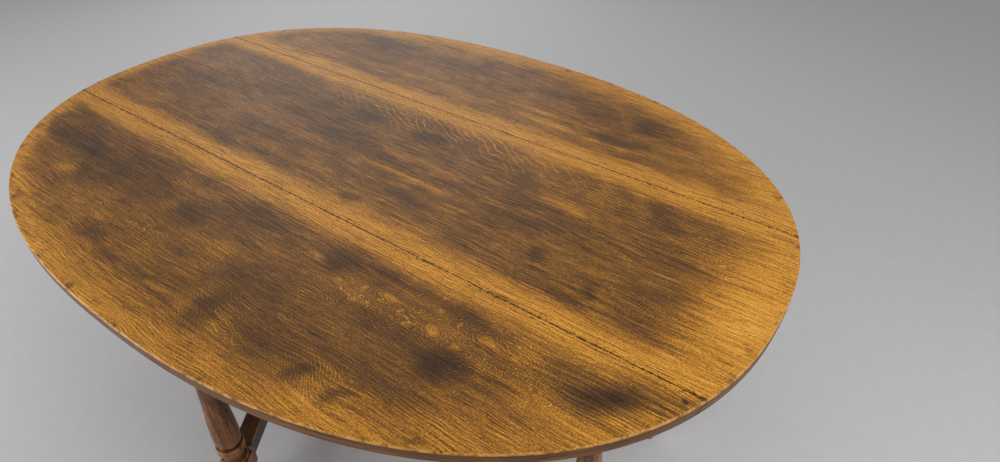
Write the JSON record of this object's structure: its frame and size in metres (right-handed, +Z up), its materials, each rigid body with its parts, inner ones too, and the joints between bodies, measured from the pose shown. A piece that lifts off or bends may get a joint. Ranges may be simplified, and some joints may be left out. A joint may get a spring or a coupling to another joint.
{
  "type": "gate-leg drop-leaf table",
  "caption": "Oval oak folding table with a fixed centre board, drop leaves on rule joints, turned legs and swinging gate legs that carry the leaves.",
  "frame": {"origin": "on the floor under the middle of the top", "axes": "+X along the hinge lines to the right end, +Y to the far side, +Z up"},
  "size_m": [1.92, 1.404, 0.74],
  "materials": {
    "oak_top": "waxed and varnished antique oak, honey brown with dark patina, satin",
    "oak_frame": "dark stained turned oak, satin with worn glossy beads",
    "oak_blocks": "plain dark oak, dry",
    "oak_pegs": "end grain of riven pegs",
    "iron_hinge": "blackened iron with a little rust",
    "steel_screws": "dull steel"
  },
  "bodies": {
    "frame": {"centre_board": "oak_top", "near_left_leg": "oak_frame", "near_right_leg": "oak_frame", "near_side_apron": "oak_frame", "near_side_stretcher": "oak_frame", "far_left_leg": "oak_frame", "far_right_leg": "oak_frame", "far_side_apron": "oak_frame", "far_side_stretcher": "oak_frame", "left_end_apron": "oak_frame", "left_cross_stretcher": "oak_frame", "right_end_apron": "oak_frame", "right_cross_stretcher": "oak_frame", "frame_pegs": "oak_pegs", "top_buttons": "oak_blocks", "top_button_screws": "steel_screws", "near_frame_flap_screws": "steel_screws", "near_hinge_1_frame_flap": "iron_hinge", "near_hinge_1_pin": "iron_hinge", "near_hinge_2_frame_flap": "iron_hinge", "near_hinge_2_pin": "iron_hinge", "near_hinge_3_frame_flap": "iron_hinge", "near_hinge_3_pin": "iron_hinge", "far_frame_flap_screws": "steel_screws", "far_hinge_1_frame_flap": "iron_hinge", "far_hinge_1_pin": "iron_hinge", "far_hinge_2_frame_flap": "iron_hinge", "far_hinge_2_pin": "iron_hinge", "far_hinge_3_frame_flap": "iron_hinge", "far_hinge_3_pin": "iron_hinge"},
    "near_leaf": {"near_leaf": "oak_top", "near_gate_stop": "oak_blocks", "near_gate_stop_screws": "steel_screws", "near_rim_block": "oak_blocks", "near_leaf_flap_screws": "steel_screws", "near_hinge_1_leaf_flap": "iron_hinge", "near_hinge_2_leaf_flap": "iron_hinge", "near_hinge_3_leaf_flap": "iron_hinge"},
    "far_leaf": {"far_leaf": "oak_top", "far_gate_stop": "oak_blocks", "far_gate_stop_screws": "steel_screws", "far_rim_block": "oak_blocks", "far_leaf_flap_screws": "steel_screws", "far_hinge_1_leaf_flap": "iron_hinge", "far_hinge_2_leaf_flap": "iron_hinge", "far_hinge_3_leaf_flap": "iron_hinge"},
    "near_gate": {"near_gate_leg": "oak_frame", "near_gate_post": "oak_frame", "near_gate_top_rail": "oak_frame", "near_gate_stretcher": "oak_frame", "near_gate_pegs": "oak_pegs"},
    "far_gate": {"far_gate_leg": "oak_frame", "far_gate_post": "oak_frame", "far_gate_top_rail": "oak_frame", "far_gate_stretcher": "oak_frame", "far_gate_pegs": "oak_pegs"}
  },
  "joints": [
    {"name": "near_gate_swing", "type": "hinge", "parent": "frame", "child": "near_gate", "pos_m": [-0.259, -0.202, 0.352], "axis": [0, 0, 1], "range_deg": [0, 57.3]},
    {"name": "near_leaf_lift", "type": "hinge", "parent": "frame", "child": "near_leaf", "pos_m": [0, -0.253, 0.719], "axis": [-1, 0, 0], "range_deg": [0, 2]},
    {"name": "far_leaf_drop", "type": "hinge", "parent": "frame", "child": "far_leaf", "pos_m": [0, 0.253, 0.719], "axis": [-1, 0, 0], "range_deg": [0, 90]},
    {"name": "far_gate_swing", "type": "hinge", "parent": "frame", "child": "far_gate", "pos_m": [0.259, 0.202, 0.352], "axis": [0, 0, -1], "range_deg": [0, 1.5]}
  ]
}
